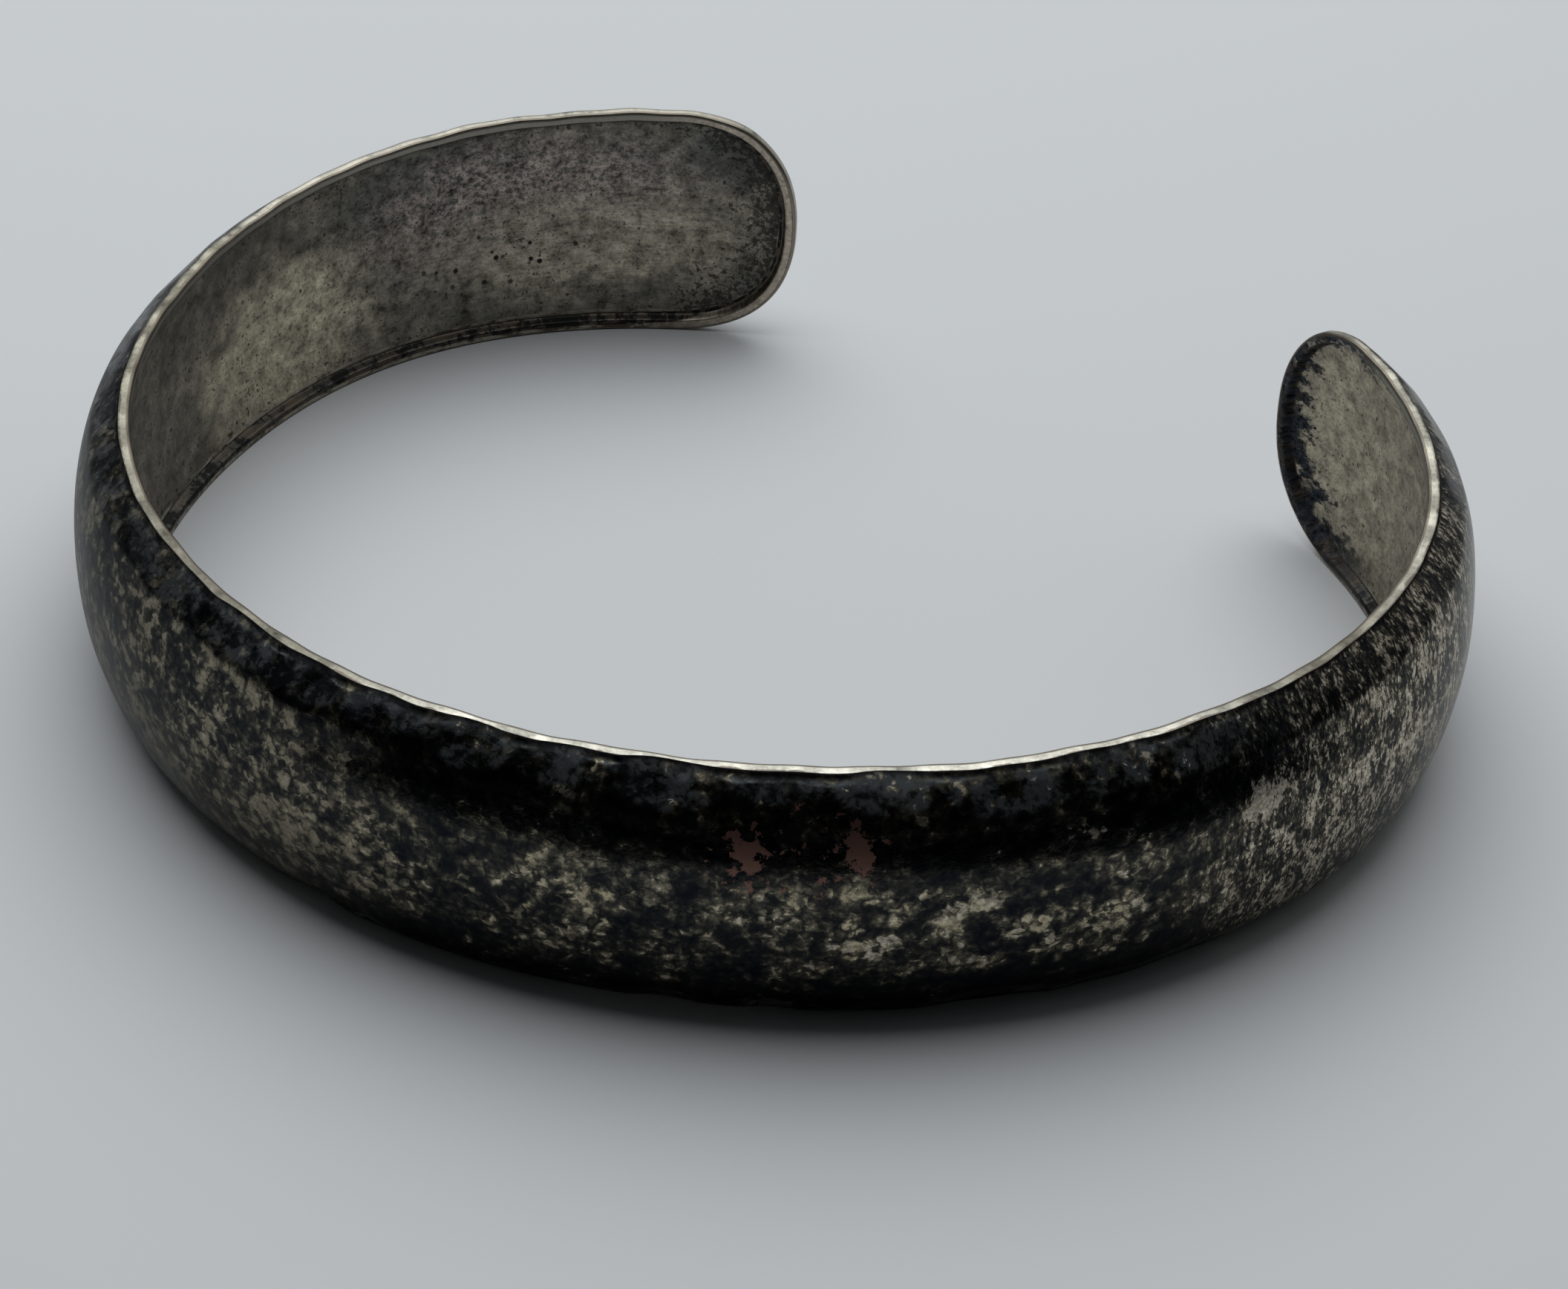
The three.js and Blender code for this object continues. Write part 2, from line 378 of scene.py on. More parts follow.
class Recipe:
    """The node tree of a material or a world under construction, with short words for the
    nodes that it needs. Where a word takes a number, it takes a socket too."""

    def __init__(self, owner):
        owner.use_nodes = True
        self.tree = owner.node_tree
        self.tree.nodes.clear()

    def node(self, kind, **settings):
        made = self.tree.nodes.new(kind)
        for key, value in settings.items():
            setattr(made, key, value)
        return made

    def feed(self, socket, value):
        if isinstance(value, bpy.types.NodeSocket):
            self.tree.links.new(value, socket)
        else:
            socket.default_value = value

    def number(self, name):
        """A number stored on the mesh."""
        return self.node("ShaderNodeAttribute", attribute_name=name).outputs["Fac"]

    def math(self, operation, a, b=0.0, c=0.0):
        made = self.node("ShaderNodeMath", operation=operation)
        for socket, value in zip(made.inputs, (a, b, c)):
            self.feed(socket, value)
        return made.outputs[0]

    def plus(self, a, b):
        return self.math("ADD", a, b)

    def minus(self, a, b):
        return self.math("SUBTRACT", a, b)

    def times(self, a, b):
        return self.math("MULTIPLY", a, b)

    def larger(self, a, b):
        return self.math("MAXIMUM", a, b)

    def vector(self, x, y, z=0.0):
        """A place for a pattern. A pattern on the skin takes its seed as z."""
        made = self.node("ShaderNodeCombineXYZ")
        for socket, value in zip(made.inputs, (x, y, z)):
            self.feed(socket, value)
        return made.outputs[0]

    def noise(self, place, scale, detail=3.0, rough=0.5, distortion=0.0, colour=False):
        made = self.node("ShaderNodeTexNoise")
        self.feed(made.inputs["Vector"], place)
        made.inputs["Scale"].default_value = scale
        made.inputs["Detail"].default_value = detail
        made.inputs["Roughness"].default_value = rough
        made.inputs["Distortion"].default_value = distortion
        return made.outputs["Color" if colour else "Fac"]

    def flakes(self, place, scale):
        """A random number for each cell, and how far each place is from its cell's middle."""
        made = self.node("ShaderNodeTexVoronoi")
        self.feed(made.inputs["Vector"], place)
        made.inputs["Scale"].default_value = scale
        return made.outputs["Color"], made.outputs["Distance"]

    def shake(self, place, scale, detail, reach):
        """The place moved about by a noise, to bend a pattern's straight lines."""
        made = self.node("ShaderNodeVectorMath", operation="MULTIPLY_ADD")
        self.feed(made.inputs[0], self.noise(place, scale, detail, 0.5, colour=True))
        made.inputs[1].default_value = (reach, reach, reach)
        self.feed(made.inputs[2], place)
        return made.outputs[0]

    def spread(self, value, amount):
        """A pattern around 0.5, taken to amount times its distance from 0.5."""
        return self.times(self.minus(value, 0.5), amount)

    def scaled(self, colour, amount):
        """The colour made brighter or darker by a factor."""
        made = self.node("ShaderNodeVectorMath", operation="SCALE")
        self.feed(made.inputs[0], colour if isinstance(colour, bpy.types.NodeSocket) else colour[:3])
        self.feed(made.inputs["Scale"], amount)
        return made.outputs[0]

    def ramp(self, value, low, high, to_low=0.0, to_high=1.0):
        """Runs smoothly from to_low to to_high as value goes from low to high."""
        made = self.node("ShaderNodeMapRange", interpolation_type="SMOOTHSTEP")
        for socket, number in zip(made.inputs, (value, low, high, to_low, to_high)):
            self.feed(socket, number)
        return made.outputs["Result"]

    def steps(self, value, *stops):
        """Colour read off a row of stops, each a place and a colour."""
        made = self.node("ShaderNodeValToRGB")
        self.feed(made.inputs["Fac"], value)
        scale = made.color_ramp.elements
        for place, colour in stops[1:-1]:
            scale.new(place).color = colour
        scale[0].position, scale[0].color = stops[0]
        scale[-1].position, scale[-1].color = stops[-1]
        return made.outputs["Color"]

    def blend(self, share, a, b):
        """Colour a, turning to colour b as share goes from 0 to 1."""
        made = self.node("ShaderNodeMix", data_type="RGBA")
        self.feed(made.inputs["Factor"], share)
        self.feed(made.inputs["A"], a)
        self.feed(made.inputs["B"], b)
        return made.outputs["Result"]

    def between(self, share, a, b):
        """Number a, turning to number b as share goes from 0 to 1."""
        made = self.node("ShaderNodeMix", data_type="FLOAT")
        self.feed(made.inputs["Factor"], share)
        self.feed(made.inputs["A"], a)
        self.feed(made.inputs["B"], b)
        return made.outputs["Result"]

    def spot(self, x, y, centre, reach, softness=0.5):
        """1 inside an oval spot at centre with the given half sizes, fading to 0 outside."""
        dx = self.math("DIVIDE", self.minus(x, centre[0]), reach[0])
        dy = self.math("DIVIDE", self.minus(y, centre[1]), reach[1])
        away = self.math("SQRT", self.plus(self.times(dx, dx), self.times(dy, dy)))
        return self.ramp(away, 1 - softness, 1 + softness, 1.0, 0.0)

    def dot(self, a, b):
        """The cosine between two directions."""
        made = self.node("ShaderNodeVectorMath", operation="DOT_PRODUCT")
        self.feed(made.inputs[0], a)
        self.feed(made.inputs[1], b)
        return made.outputs["Value"]


# Finish of the silver: its colours are the metal's own reflection, save the painted reflections, glint
# and shade marked below
TARNISH = (  # place on the scale of wear, and the tarnish there, from thick to thin
    (0.00, rgb(0.008, 0.010, 0.015)),
    (0.30, rgb(0.020, 0.0205, 0.0205)),
    (0.45, rgb(0.040, 0.039, 0.035)),
    (0.58, rgb(0.092, 0.085, 0.066)),
    (0.68, rgb(0.200, 0.180, 0.125)),
)
PALE_SILVER = rgb(0.47, 0.41, 0.275)
ROSY_SILVER = rgb(0.55, 0.495, 0.40)
OCHRE_SILVER = rgb(0.30, 0.27, 0.213)
PAINTED_REFLECTION_TINT = rgb(0.25, 0.135, 0.105)
RIM_SILVER = rgb(0.47, 0.45, 0.385)
PALE_RIM = rgb(0.66, 0.63, 0.525)
WORN_EDGE = rgb(0.62, 0.53, 0.46)
RIM_SHADE_BROWN = rgb(0.13, 0.105, 0.085)
SLATE_FILM = rgb(0.070, 0.078, 0.084)
ARM_SLATE = rgb(0.215, 0.218, 0.215)
OLIVE_SILVER = rgb(0.56, 0.505, 0.375)
RIM_IVORY = rgb(0.28, 0.264, 0.208)
BLUE_GREY = rgb(0.060, 0.068, 0.082)
WORN_GREY = rgb(0.30, 0.27, 0.215)
CREASE_SILVER = rgb(0.46, 0.42, 0.34)
GREY_SILVER = rgb(0.155, 0.145, 0.120)
DARK_GREY = rgb(0.080, 0.083, 0.078)
TAN_SILVER = rgb(0.47, 0.41, 0.335)
PINK_BROWN = rgb(0.34, 0.285, 0.25)
GROOVE_BROWN = rgb(0.13, 0.105, 0.08)
CREVICE_BLACK = rgb(0.020, 0.019, 0.018)
CORNER_SHADE_BLACK = rgb(0.007, 0.007, 0.008)
DULL_SILVER = rgb(0.26, 0.245, 0.21)
EDGE_TINT = rgb(0.65, 0.65, 0.65)
RIM_ROUGHNESS = 0.36
GRAIN_STRENGTH = 0.25
GRAIN_DEPTH = 0.00005
BARE_PATCHES = (  # middle and reach of the patches of bare silver, along and level, and their wear
    ((24.0, -0.2), (0.9, 0.7), 2.8),
    ((25.2, 0.7), (0.6, 0.6), 2.3),
    ((27.1, -0.8), (0.9, 0.6), 2.4),
    ((25.3, -2.5), (1.0, 0.5), 1.5),
    ((20.1, -1.2), (0.5, 1.3), 1.0),
    ((21.3, -1.3), (0.6, 0.6), 1.0),
    ((20.4, 1.4), (0.5, 0.4), 0.8),
    ((16.0, -0.3), (1.1, 0.5), 0.5),
    ((9.6, 0.3), (1.3, 0.6), 1.4),
    ((7.7, 1.4), (0.6, 0.5), 1.2),
    ((37.5, 2.4), (0.85, 0.8), 2.5),
)
CALM_PATCHES = (  # the same for patches of whole tarnish between them
    ((12.5, -0.5), (2.2, 2.0), -0.7),
    ((15.8, -1.6), (1.3, 1.3), -1.3),
    ((31.0, -1.0), (2.6, 2.2), -0.4),
    ((35.8, 3.4), (0.9, 1.4), -1.2),
    ((38.3, 4.3), (1.4, 0.9), -0.9),
)
DARK_PATCHES = (  # middle and reach of the dark stains inside
    ((-58.0, 3.2), (7.0, 2.2)),
    ((-67.2, 2.6), (2.4, 1.3)),
    ((-72.5, 3.4), (2.2, 1.6)),
    ((-59.3, -1.2), (1.6, 1.6)),
)
PAINTED_REFLECTION_SPOTS = (  # the same for the two reddish spots of painted reflection, and the area that holds them
    ((16.1, 3.1), (0.75, 1.1)),
    ((20.4, 3.4), (0.65, 1.0)),
)
PAINTED_REFLECTION_AREA = ((18.2, 3.2), (4.0, 2.2))

# Other areas of the skin, middle and reach, as distance along and level or inset
PAINTED_GLINT_LINE = ((12.8, 0.0), (5.2, 0.42))
SHADED_AREA = ((-20.0, 1.0), (9.0, 8.0))
PITTED_AREA = ((-61, -2.0), (5.5, 2.0))
OLIVE_AREA = ((-47.3, -2.6), (6.2, 4.4))
FAR_OLIVE_AREA = ((-64.5, -1.4), (7.0, 2.4))
PINK_AREA = ((-62, 1.2), (8, 3.6))

# Where one look of the skin gives way to the next, from and to, along the band and up it
TO_LEFT = (5, -4)
TO_RIGHT_BEND = (31, 39)
TO_LEFT_END = (-67, -73)
TO_RIGHT_END = (66, 72)
RIGHT_ARM = (50, 58)
UPPER_HALF = (0.8, 2.6)
LOW_SIDE = (1.0, -1.0)


def flaked_wear(f, along, across, seed):
    """How far the tarnish is worn, around 0 with a spread of about 1.

    The sum of large and small flakes, each with its own random depth, thinner toward the
    large flakes' middles, of a fine grain, and of broad clumps."""
    place = f.vector(along, across, seed)
    shaken = f.shake(place, 1.9, 1, 0.9)
    large, to_middle = f.flakes(shaken, 1.7)
    small, _ = f.flakes(shaken, 3.6)
    wear = f.plus(f.spread(large, 2.2), f.spread(small, 2.1))
    wear = f.plus(wear, f.spread(f.noise(place, 1.7, 5, 0.70), 7.0))
    wear = f.plus(wear, f.spread(f.noise(place, 0.38, 3, 0.6), 7.5))
    return f.plus(wear, f.times(f.minus(0.42, to_middle), 3.2))


def outside_wear(f, along, level, across):
    """How far the outside's tarnish is worn, from 0 to 1, and how bare it is.

    Flakes on the front and the left bend, streaks on the right one. The top of the front keeps more
    tarnish, and the front grows darker toward its foot, painted shade where it meets the floor; the
    right bend keeps least. Named patches add to it or take from it."""
    at_left = f.ramp(along, *TO_LEFT)
    to_right = f.ramp(along, *TO_RIGHT_BEND)
    wear = flaked_wear(f, along, across, 9.0)
    streaks = flaked_wear(f, f.times(along, 3.1), f.times(across, 1.5), 2.0)
    wear = f.between(to_right, wear, streaks)
    low_left = f.times(f.ramp(along, 5, -6), f.ramp(level, 1.0, -1.5))
    wear = f.times(wear, f.between(low_left, f.between(to_right, 0.95, 1.0), 0.6))

    upper = f.ramp(level, *UPPER_HALF)
    high_front = f.times(f.times(upper, f.ramp(along, 36, 28)), f.ramp(along, -6, 2))
    wear = f.times(wear, f.between(high_front, 1.0, 0.72))
    wear = f.minus(wear, f.times(upper, f.ramp(along, 20, 8, 0.0, 0.35)))
    front = f.times(f.minus(1.0, to_right), f.minus(1.0, at_left))
    # Painted shade: the front darker toward its foot, where it meets the floor.
    wear = f.minus(wear, f.times(front, f.ramp(level, -2.3, -3.8, 0.12, 1.2)))
    wear = f.plus(wear, f.times(at_left, f.between(low_left, 0.30, 0.55)))
    right_top = f.between(f.ramp(along, 38, 50), 2.0, 5.0)
    below_top = f.ramp(f.minus(right_top, level), -1.2, 1.2)
    right_wear = f.between(below_top, 0.2, f.ramp(along, 38, 50, 0.70, 1.0))
    wear = f.plus(wear, f.times(to_right, right_wear))
    for centre, reach, amount in BARE_PATCHES + CALM_PATCHES:
        wear = f.plus(wear, f.times(f.spot(along, level, centre, reach, 0.7), amount))
    wear = f.math("MULTIPLY_ADD", wear, 0.17, 0.5)
    return wear, f.ramp(wear, f.between(at_left, 0.66, 0.58), f.between(at_left, 0.76, 0.98))


def painted_reflection(f, along, level, across):
    """How much painted reflection each place carries: two reddish spots of painted reflection on the
    upper front, with ragged outlines.
    """
    reflection_share = 0.0
    for centre, reach in PAINTED_REFLECTION_SPOTS:
        reflection_share = f.plus(reflection_share, f.spot(along, level, centre, reach, 0.6))
    ragged = f.noise(f.vector(along, across, 27.0), 1.6, 4, 0.7)
    reflection_share = f.plus(reflection_share, f.spread(ragged, 4.5))
    near = f.times(f.ramp(level, 1.0, 1.6), f.spot(along, level, *PAINTED_REFLECTION_AREA, 0.1))
    return f.times(f.ramp(reflection_share, 0.45, 0.70), near)


def bare_silver(f, along, across, shade):
    """Colour of the bare silver outside: pale, rosy or ochre by place, rubbed unevenly."""
    silver = f.blend(f.ramp(shade, 0.42, 0.58), PALE_SILVER, ROSY_SILVER)
    third = f.blend(f.ramp(along, 24, 34), OCHRE_SILVER, ROSY_SILVER)
    silver = f.blend(f.ramp(shade, 0.54, 0.62), silver, third)
    silver = f.blend(f.ramp(along, 30, 40), silver, ROSY_SILVER)
    silver = f.blend(f.ramp(along, 8, -4), silver, OCHRE_SILVER)
    rubbed = f.noise(f.vector(along, across, 35.0), 3.4, 4, 0.7)
    return f.scaled(silver, f.plus(f.spread(rubbed, 3.6), 0.92))


def outside_finish(f, along, level, across, from_edge, struck):
    """Colour, roughness, metal share and height of the outside: black tarnish with a slate film where
    the hammer struck, worn to bare silver in flakes, and grey along the arms. Two reddish spots are
    painted reflections, a line along the low front edge is a painted glint, and the outer corner and a
    part of the left bend carry painted shade."""
    wear, bare = outside_wear(f, along, level, across)
    reflection_share = painted_reflection(f, along, level, across)
    shade = f.noise(f.vector(along, across, 1.0), 0.7, 4, 0.65)
    film = f.times(f.times(struck, f.ramp(shade, 0.40, 0.54)), f.ramp(along, 42, 34))
    film = f.times(film, f.ramp(wear, 0.25, 0.55, 0.25, 1.0))
    colour = f.blend(film, f.steps(wear, *TARNISH), SLATE_FILM)
    colour = f.blend(bare, colour, bare_silver(f, along, across, shade))
    # Painted reflection: two reddish spots on the upper front.
    colour = f.blend(reflection_share, colour, PAINTED_REFLECTION_TINT)

    # Painted shade: black along the outer corner below the rim, a wide band on the low side and a thin
    # line on the top, darkening the corner's reflection of the light.
    corner = f.between(f.ramp(level, -1.0, 1.0), 0.35, 0.05)
    colour = f.blend(f.ramp(f.minus(from_edge, corner), 0.14, -0.04), colour, CORNER_SHADE_BLACK)
    # Painted glint: a thin line of dull silver along the low edge of the front, where the edge catches
    # the light.
    painted_glint = f.times(f.spot(along, from_edge, *PAINTED_GLINT_LINE, 0.25), f.ramp(level, 0.0, -1.0))
    colour = f.blend(painted_glint, colour, DULL_SILVER)

    grain = f.noise(f.vector(f.times(along, 0.35), across, 19.0), 1.3, 5, 0.7)
    on_arms = f.times(f.ramp(along, -28, -40), f.ramp(along, -60, -46, 0.3, 1.0))
    on_arms = f.larger(on_arms, f.ramp(along, 54, 66, 0.0, 0.5))
    worn_arms = f.scaled(ARM_SLATE, f.larger(f.plus(f.spread(grain, 5.5), 1.0), 0.25))
    colour = f.blend(f.times(on_arms, f.ramp(from_edge, 0.2, 0.5, 0.42, 0.52)), colour, worn_arms)
    colour = f.scaled(colour, f.minus(1.0, f.times(f.spot(along, level, *SHADED_AREA), 0.3)))

    roughness = f.between(bare, f.between(f.ramp(along, -10, -20), 0.18, 0.34), 0.32)
    roughness = f.between(reflection_share, roughness, 0.42)
    dulled = f.noise(f.vector(along, across, 61.0), 0.7, 4, 0.65)
    dulled = f.minus(from_edge, f.spread(dulled, 2.4))
    roughness = f.between(f.ramp(dulled, 0.75, 0.15), roughness, 0.62)
    return colour, roughness, f.between(film, 1.0, 0.5), wear


def inside_colour(f, along, level, brush, stain, speckle, mottle):
    """Colour of the recessed face: grey silver, darker stains, olive and pink patches, fine
    brush lines, and light and dark specks."""
    ragged = f.noise(f.vector(along, level, 41.0), 0.75, 5, 0.7)
    wobble = f.times(f.minus(ragged, 0.5), 6.0)
    u, v = f.plus(along, wobble), f.plus(level, f.times(wobble, 0.8))
    colour = f.blend(f.ramp(stain, 0.38, 0.62, 0.0, 0.75), GREY_SILVER, WORN_GREY)
    dark = 0.0
    for centre, reach in DARK_PATCHES:
        dark = f.larger(dark, f.spot(u, v, centre, reach, 0.5))
    colour = f.blend(f.times(dark, 0.8), colour, DARK_GREY)
    curl = f.spread(f.noise(f.vector(along, level, 44.0), 0.45, 2, 0.5), 7.0)
    curled = f.plus(along, curl), f.plus(level, f.times(curl, 0.6))
    olive = f.times(f.spot(*curled, *OLIVE_AREA, 0.30), 0.95)
    olive = f.times(olive, f.ramp(along, -55, -49, 0.35, 1.0))
    olive = f.larger(olive, f.times(f.spot(u, v, *FAR_OLIVE_AREA, 0.5), 0.5))
    olive = f.larger(olive, f.times(f.ramp(along, *RIGHT_ARM), 0.66))
    colour = f.blend(olive, colour, OLIVE_SILVER)
    pink = f.times(f.ramp(speckle, 0.42, 0.56), f.spot(u, v, *PINK_AREA, 0.5))
    colour = f.blend(pink, colour, PINK_BROWN)
    brushed = f.times(f.ramp(brush, 0.34, 0.56, 0.50, 0.0), f.ramp(along, -50, -60, 0.35, 1.0))
    colour = f.blend(brushed, colour, DARK_GREY)
    colour = f.blend(f.ramp(speckle, 0.36, 0.52, 0.40, 0.0), colour, DARK_GREY)
    light = f.plus(f.spread(mottle, 3.4), f.spread(speckle, 2.2))
    light = f.times(light, f.between(f.ramp(along, -52, -44), 1.0, 0.65))
    light = f.plus(light, f.ramp(along, *RIGHT_ARM, 1.02, 0.86))
    return f.scaled(colour, f.larger(light, 0.25))


def inside_border(f, colour, along, level, from_edge, speckle, mottle):
    """The colour, with the flat border beside the rim, the crease and the groove between
    the two, and a dark line under the rim laid over it."""
    at_left_end = f.ramp(along, *TO_LEFT_END)
    low_side = f.ramp(level, *LOW_SIDE)
    smudge = f.noise(f.vector(f.times(along, 0.45), f.times(level, 1.5), 31.0), 1.2, 5, 0.7)
    smudge = f.between(f.ramp(f.math("ABSOLUTE", along), 66, 71), smudge, mottle)
    crease = f.times(f.ramp(from_edge, 1.05, 0.88), low_side)
    crease = f.times(crease, f.ramp(smudge, 0.42, 0.58, 0.0, 1.0))
    colour = f.blend(crease, colour, CREASE_SILVER)
    groove = f.blend(f.ramp(smudge, 0.38, 0.56), GROOVE_BROWN, DARK_GREY)
    black = f.plus(smudge, f.spread(speckle, 0.7))
    black = f.plus(black, f.ramp(along, -52, -62, 0.0, 0.05))
    groove = f.blend(f.ramp(black, 0.50, 0.56, 0.0, 0.9), groove, CREVICE_BLACK)
    groove_end = f.between(at_left_end, 0.75, 0.95)
    colour = f.blend(f.ramp(f.minus(from_edge, groove_end), 0.03, -0.03), colour, groove)
    worn = f.blend(f.ramp(black, 0.44, 0.60), CREASE_SILVER, GROOVE_BROWN)
    border = f.blend(low_side, DULL_SILVER, worn)
    border = f.blend(at_left_end, border, f.scaled(TAN_SILVER, f.plus(f.spread(speckle, 3.0), 1.0)))
    border_end = f.between(at_left_end, f.between(low_side, 0.47, 0.30), 0.74)
    colour = f.blend(f.ramp(f.minus(from_edge, border_end), 0.04, -0.03), colour, border)
    line = f.times(f.ramp(from_edge, 0.08, 0.11), f.ramp(from_edge, 0.19, 0.14))
    line = f.times(line, f.larger(f.ramp(level, -1.0, 1.0), at_left_end))
    return f.blend(f.times(line, 0.7), colour, CREVICE_BLACK)


def inside_finish(f, along, level, from_edge):
    """Colour, roughness and height of the inside: dull silver with brush lines along the
    band, stained, pitted, dirty along its border, and blue-black at the right end."""
    brush = f.noise(f.vector(f.times(along, 0.12), level, 3.0), 6.5, 6, 0.74)
    stain = f.noise(f.vector(along, level, 12.0), 0.28, 6, 0.68, 0.5)
    speckle = f.noise(f.vector(along, level, 15.0), 3.0, 5, 0.75, 0.2)
    mottle = f.noise(f.vector(along, level, 22.0), 1.1, 5, 0.68)
    colour = inside_colour(f, along, level, brush, stain, speckle, mottle)

    flecks, _ = f.flakes(f.shake(f.vector(along, level, 33.0), 2.2, 2, 0.7), 4.2)
    dirt = f.plus(speckle, f.times(f.ramp(from_edge, 2.0, 0.7), 0.06))
    end_dirt = f.times(f.ramp(along, *TO_LEFT_END), f.ramp(from_edge, 4.5, 0.8))
    dirt = f.plus(dirt, f.times(end_dirt, 0.12))
    dirt = f.plus(dirt, f.plus(f.spread(stain, 0.25), f.spread(flecks, 0.10)))
    colour = f.blend(f.ramp(dirt, 0.575, 0.645, 0.0, 0.85), colour, CREVICE_BLACK)
    _, to_pit = f.flakes(f.vector(along, level, 1.0), 1.25)
    pits = f.times(f.ramp(to_pit, 0.14, 0.20, 1.0, 0.0), f.spot(along, level, *PITTED_AREA, 0.6))
    colour = f.blend(pits, colour, CREVICE_BLACK)
    colour = inside_border(f, colour, along, level, from_edge, speckle, mottle)

    # Blue-black tarnish that runs in from the right end's lower border
    runs = f.noise(f.vector(along, f.times(level, 1.6), 52.0), 0.8, 5, 0.72)
    runs = f.plus(f.spread(runs, 9.0), f.ramp(level, 4.5, -1.0, 0.6, 1.5))
    tarnish = f.times(f.ramp(f.minus(from_edge, runs), 0.5, -0.3), f.ramp(along, *TO_RIGHT_END))
    tarnish = f.times(tarnish, f.ramp(from_edge, 0.10, 0.20))
    blue = f.blend(f.ramp(mottle, 0.46, 0.58, 0.0, 0.6), BLUE_GREY, GROOVE_BROWN)
    blue = f.scaled(blue, f.larger(f.plus(f.spread(speckle, 6.0), 1.0), 0.2))
    colour = f.blend(tarnish, colour, blue)
    roughness = f.between(tarnish, f.ramp(speckle, 0.35, 0.65, 0.36, 0.48), 0.75)
    return colour, roughness, f.minus(f.times(brush, 0.8), f.times(pits, 2.0))


def rubbed_rim(f, along, level, across, from_edge, outside):
    """Colour of the rim: silver, palest at the front and the ends, ivory at the left bend, with a brown
    line on the inner corner and a ragged brown outer half, painted shade where the rounded rim turns
    away from the light."""
    smudge = f.noise(f.vector(along, across, 7.0), 0.9, 6, 0.7)
    bright = f.times(f.ramp(along, -5, 3), f.ramp(along, 42, 32))
    rim = f.blend(bright, f.scaled(RIM_IVORY, f.ramp(along, -28, -12, 1.1, 0.6)), RIM_SILVER)
    pale = f.larger(f.ramp(along, -38, -50), f.ramp(along, 44, 54, 0.0, 0.55))
    rim = f.blend(pale, rim, PALE_RIM)
    rim = f.scaled(rim, f.larger(f.plus(f.spread(smudge, 3.2), 0.95), 0.3))
    pink = f.times(f.ramp(smudge, 0.46, 0.60, 0.0, 0.6), f.ramp(along, -44, -56))
    rim = f.blend(pink, rim, PINK_BROWN)
    edge_line = f.times(f.ramp(outside, 0.26, 0.10), f.ramp(from_edge, 0.14, 0.08))
    end_edge = f.times(f.ramp(along, 64, 70), f.ramp(level, 2.0, -1.0))
    rim = f.blend(f.times(edge_line, 0.8), rim, f.blend(end_edge, GROOVE_BROWN, WORN_EDGE))
    # Painted shade: the rim's outer half painted brown, where the rounded rim turns away from the
    # light.
    ragged = f.spread(f.noise(f.vector(along, 0.0, 8.0), 0.55, 4, 0.65), 3.0)
    shaded_outer_half = f.ramp(f.plus(f.ramp(outside, 0.40, 0.62), ragged), 0.80, 1.15)
    shaded_outer_half = f.times(shaded_outer_half, f.ramp(along, -50, -40, 0.0, 0.85))
    return f.blend(shaded_outer_half, rim, RIM_SHADE_BROWN)


def tarnished_silver():
    """The finish of the whole band: outside, inside, and the rim rubbed bright between them."""
    silver = bpy.data.materials.new("tarnished_silver")
    f = Recipe(silver)
    along, level, across = f.number("along"), f.number("level"), f.number("across")
    from_edge, outside, struck = f.number("from_edge"), f.number("outside"), f.number("struck")
    outer, outer_rough, metal, outer_height = outside_finish(f, along, level, across, from_edge, struck)
    inner, inner_rough, inner_height = inside_finish(f, along, level, from_edge)
    rim = rubbed_rim(f, along, level, across, from_edge, outside)
    is_outer = f.ramp(outside, 0.68, 0.90)
    is_inner = f.times(f.ramp(outside, 0.35, 0.10), f.ramp(from_edge, 0.06, 0.14))
    bump = f.node("ShaderNodeBump")
    bump.inputs["Strength"].default_value = GRAIN_STRENGTH
    bump.inputs["Distance"].default_value = GRAIN_DEPTH
    f.feed(bump.inputs["Height"], f.between(is_outer, inner_height, outer_height))
    inside_rough = f.between(is_inner, RIM_ROUGHNESS, inner_rough)

    shader = f.node("ShaderNodeBsdfPrincipled")
    f.feed(shader.inputs["Base Color"], f.blend(is_outer, f.blend(is_inner, rim, inner), outer))
    f.feed(shader.inputs["Roughness"], f.between(is_outer, inside_rough, outer_rough))
    f.feed(shader.inputs["Metallic"], f.between(is_outer, 1.0, metal))
    shader.inputs["Specular Tint"].default_value = EDGE_TINT
    f.feed(shader.inputs["Normal"], bump.outputs["Normal"])
    output = f.node("ShaderNodeOutputMaterial")
    f.feed(output.inputs["Surface"], shader.outputs["BSDF"])
    return silver


# Floor, light and camera

FLOOR_REACH = 3.0
FLOOR_COLOUR = rgb(0.80, 0.815, 0.825)
CARD_COLOUR = rgb(0.012, 0.016, 0.026)
CARD_GAP = 23.0
CARD_REACH = 400.0
CARD_HEIGHT = 0.3
CARD_TURNS = (-52.0, 70.0)
CARD_STEPS = 48
FRONT_FACE = (-1.85, -25.22)

CAMERA_TURN = math.radians(29.94)
CAMERA_RISE = math.radians(34.50)
CAMERA_ROLL = math.radians(-2.61)
CAMERA_DISTANCE = 213.8
CAMERA_AIM = (1.27, 2.31, 0.0)
CAMERA_LENS = 102.77
CAMERA_SENSOR = 36
CAMERA_NEAREST = 0.005


